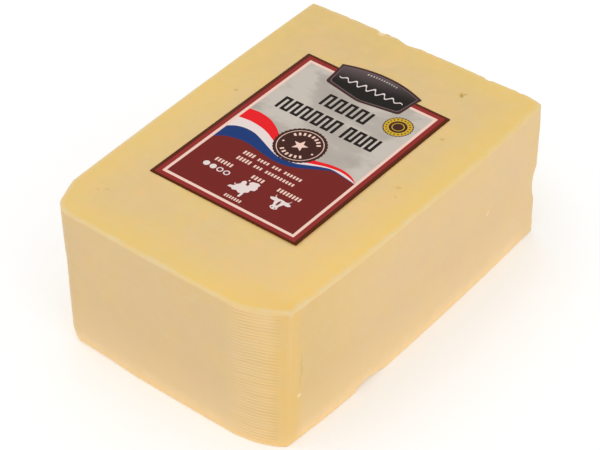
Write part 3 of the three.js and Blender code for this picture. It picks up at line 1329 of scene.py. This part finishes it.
def ink_material(name, settings):
    """One ink of the label: even, slightly glossy, with the tooth of the sheet beneath it."""
    value = tuple(getattr(settings, name))
    ink = Shader("label_" + name, Base_Color=rgba(value), Specular_IOR_Level=0.08)
    tooth = ink.clouds(0.5 * MM, 2.0)
    buckle = ink.clouds(9 * MM, 1.0)
    wires = {
        "Roughness": 0.38 + tooth * 0.16,
        "Normal": ink.bump(tooth, 0.008 * MM, ink.bump(buckle, 0.10 * MM)),
    }
    if name == "sky":
        wires["Base_Color"] = sky_colour(ink, value)
    elif name == "ground":
        depth = ink.clouds(26 * MM, 2.0)
        wires["Base_Color"] = ink.mix(depth * 0.35, value, scaled(value, 0.72))
    elif name == "plaque":
        # Painted sheen: the plaque lightens towards its upper left.
        rise = ink.step(ink.axis("Y") - ink.axis("X") * 0.2, 42 * MM, 57 * MM)
        wires["Base_Color"] = ink.mix(rise * 0.8, value, tuple(settings.steel))
    return ink.finish(**wires)


def sky_colour(ink, value):
    """Soft grey clouds over the upper field, which is lighter towards its two sides."""
    drift = ink.clouds(15 * MM, 5.0, (0.7, 1.3, 1))
    across = ink.axis("X")
    left = ink.step(across, LABEL_LOW.x + 22 * MM, LABEL_LOW.x + 9 * MM)
    right = ink.step(across, LABEL_HIGH.x - 16 * MM, LABEL_HIGH.x - 6 * MM)
    light = ink.step(drift + (left + right * 0.7) * 0.2, 0.50, 0.66)
    dark = ink.step(drift, 0.48, 0.32)
    clouded = ink.mix(light * 0.85, value, scaled(value, 1.3))
    return ink.mix(dark * 0.45, clouded, scaled(value, 0.78))


def cut_up(outline, prints):
    """The sheet's points, its triangles, and the ink that shows on each triangle.

    Outline 0 is the sheet's own, and each print lies on those with lower numbers.
    """
    spots, loops = [], []
    for loop in (outline, *[counter_clockwise(shape.outline) for shape in prints]):
        loops.append(list(range(len(spots), len(spots) + len(loop))))
        spots += [Vector(p) for p in loop]
    spots += [Vector(p) for p in lattice(outline, SHEET_STEP, SHEET_MARGIN)]
    found = delaunay_2d_cdt(spots, [], loops, INSIDE_OUTLINES, 1e-4, True)
    places, _, triangles, _, _, covers = found
    kept = [(list(triangle), max(ids)) for triangle, ids in zip(triangles, covers) if 0 in ids]
    inks = ["outline_ink", *[shape.ink for shape in prints]]
    return places, [triangle for triangle, _ in kept], [inks[shape] for _, shape in kept]


def open_edges(faces):
    """The edges that only one face has, in that face's direction."""
    edges = {(a, b) for face in faces for a, b in zip(face, face[1:] + face[:1])}
    return [(a, b) for a, b in edges if (b, a) not in edges]


class CHEESE_OT_label(bpy.types.Operator):
    """Build the printed label as one thin sheet"""

    bl_idname = "cheese.label"
    bl_label = "Printed label"

    def execute(self, context):
        settings = context.scene.cheese_label
        places, faces, face_inks = cut_up(label_outline(), label_prints(settings))
        flat = [drawn(place) for place in places]
        under = [(x, y, label_height(x, y)) for x, y in flat]
        over = [(x, y, z + settings.thickness) for x, y, z in under]
        count = len(flat)
        below = [[v + count for v in reversed(face)] for face in faces]
        walls = [[b, a, a + count, b + count] for a, b in open_edges(faces)]

        face_inks += ["paper"] * len(below) + ["outline_ink"] * len(walls)
        inks = ["paper", *sorted(set(face_inks) - {"paper"})]
        materials = [ink_material(name, settings) for name in inks]
        chosen = [inks.index(name) for name in face_inks]
        piece = new_piece("label_sheet", over + under, faces + below + walls, materials, chosen)
        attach(piece, BODY)
        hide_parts("label")
        return {"FINISHED"}


# ---------------------------------------------------------------------------------------------
# The stage
# ---------------------------------------------------------------------------------------------


class Lamp(NamedTuple):
    """A soft square lamp that looks at the block, in metres and watts."""

    name: str
    place: tuple
    size: float
    power: float


LAMPS = (
    Lamp("key", (-0.5, -0.6, 2.2), 2.2, 9.8),
    Lamp("fill", (2.2, -0.3, 1.0), 1.6, 6.45),
)


def aim(thing, target):
    """Turns a lamp or a camera to look at a point."""
    thing.rotation_euler = (Vector(target) - thing.location).to_track_quat("-Z", "Y").to_euler()


def floor_material(settings):
    """A matt pale floor."""
    floor = Shader("floor", Specular_IOR_Level=0.1, Emission_Strength=settings.floor_light)
    tone = floor.clouds(0.5, 2.0)
    pale = tuple(settings.floor)
    return floor.finish(
        Base_Color=floor.mix(tone * 0.05, pale, scaled(pale, 0.96)),
        Roughness=0.85 + tone * 0.1,
    )


class CHEESE_OT_stage(bpy.types.Operator):
    """Set up the floor, the soft lamps, the sky and the camera"""

    bl_idname = "cheese.stage"
    bl_label = "Stage"

    def execute(self, context):
        settings = context.scene.cheese_stage
        scene = context.scene
        self._floor(scene, settings)
        self._sky(scene, settings)
        self._lamps(scene, settings)
        self._camera(scene, settings)
        return {"FINISHED"}

    def _floor(self, scene, settings):
        """A plain square floor under the block."""
        half = settings.floor_size / 2
        corners = [(-half, -half, 0), (half, -half, 0), (half, half, 0), (-half, half, 0)]
        mesh = bpy.data.meshes.new("floor")
        mesh.from_pydata(corners, [], [(0, 1, 2, 3)])
        mesh.materials.append(floor_material(settings))
        floor = bpy.data.objects.new("floor", mesh)
        scene.collection.objects.link(floor)

    def _sky(self, scene, settings):
        """Even white light from all round, and colours shown as they are."""
        world = bpy.data.worlds.new("studio")
        world.use_nodes = True
        sky = world.node_tree.nodes["Background"]
        sky.inputs["Color"].default_value = (1.0, 1.0, 1.0, 1.0)
        sky.inputs["Strength"].default_value = settings.sky
        scene.world = world
        scene.view_settings.view_transform = "Standard"

    def _lamps(self, scene, settings):
        """The soft lamps, turned towards the block."""
        for lamp in LAMPS:
            data = bpy.data.lights.new(lamp.name, "AREA")
            data.energy = lamp.power
            data.size = lamp.size
            made = bpy.data.objects.new(lamp.name, data)
            made.location = lamp.place
            aim(made, settings.target)
            scene.collection.objects.link(made)

    def _camera(self, scene, settings):
        """The camera, at its distance from the point that it looks at."""
        data = bpy.data.cameras.new("camera")
        data.lens = settings.lens
        camera = bpy.data.objects.new("camera", data)
        across, up = settings.azimuth, settings.elevation
        back = Vector((
            math.sin(across) * math.cos(up),
            -math.cos(across) * math.cos(up),
            math.sin(up),
        ))
        camera.location = Vector(settings.target) + back * settings.distance
        aim(camera, settings.target)
        scene.collection.objects.link(camera)
        scene.camera = camera


# ---------------------------------------------------------------------------------------------
# Sidebar and registration
# ---------------------------------------------------------------------------------------------

OPERATORS = (CHEESE_OT_block, CHEESE_OT_label, CHEESE_OT_stage)
SETTINGS = {
    "cheese": CheeseSettings,
    "cheese_label": LabelSettings,
    "cheese_stage": StageSettings,
}


class CHEESE_PT_sidebar(bpy.types.Panel):
    """The settings of each piece, and the button that builds it"""

    bl_idname = "CHEESE_PT_sidebar"
    bl_label = "Cheese Block"
    bl_space_type = "VIEW_3D"
    bl_region_type = "UI"
    bl_category = "Cheese"

    def draw(self, context):
        for name, operator in zip(SETTINGS, OPERATORS):
            box = self.layout.box()
            settings = getattr(context.scene, name)
            for field in SETTINGS[name].__annotations__:
                box.prop(settings, field)
            box.operator(operator.bl_idname)


def register():
    """Registers the classes, and hangs the settings on the scene."""
    for kind in (*SETTINGS.values(), *OPERATORS, CHEESE_PT_sidebar):
        bpy.utils.register_class(kind)
    for name, kind in SETTINGS.items():
        setattr(bpy.types.Scene, name, bpy.props.PointerProperty(type=kind))


def unregister():
    """Takes the settings off the scene and the classes out again."""
    for name in SETTINGS:
        delattr(bpy.types.Scene, name)
    for kind in reversed((*SETTINGS.values(), *OPERATORS, CHEESE_PT_sidebar)):
        bpy.utils.unregister_class(kind)


def main():
    """Registers the classes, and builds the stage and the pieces."""
    register()
    bpy.ops.cheese.stage()
    bpy.ops.cheese.block()
    bpy.ops.cheese.label()


if __name__ == "__main__":
    main()
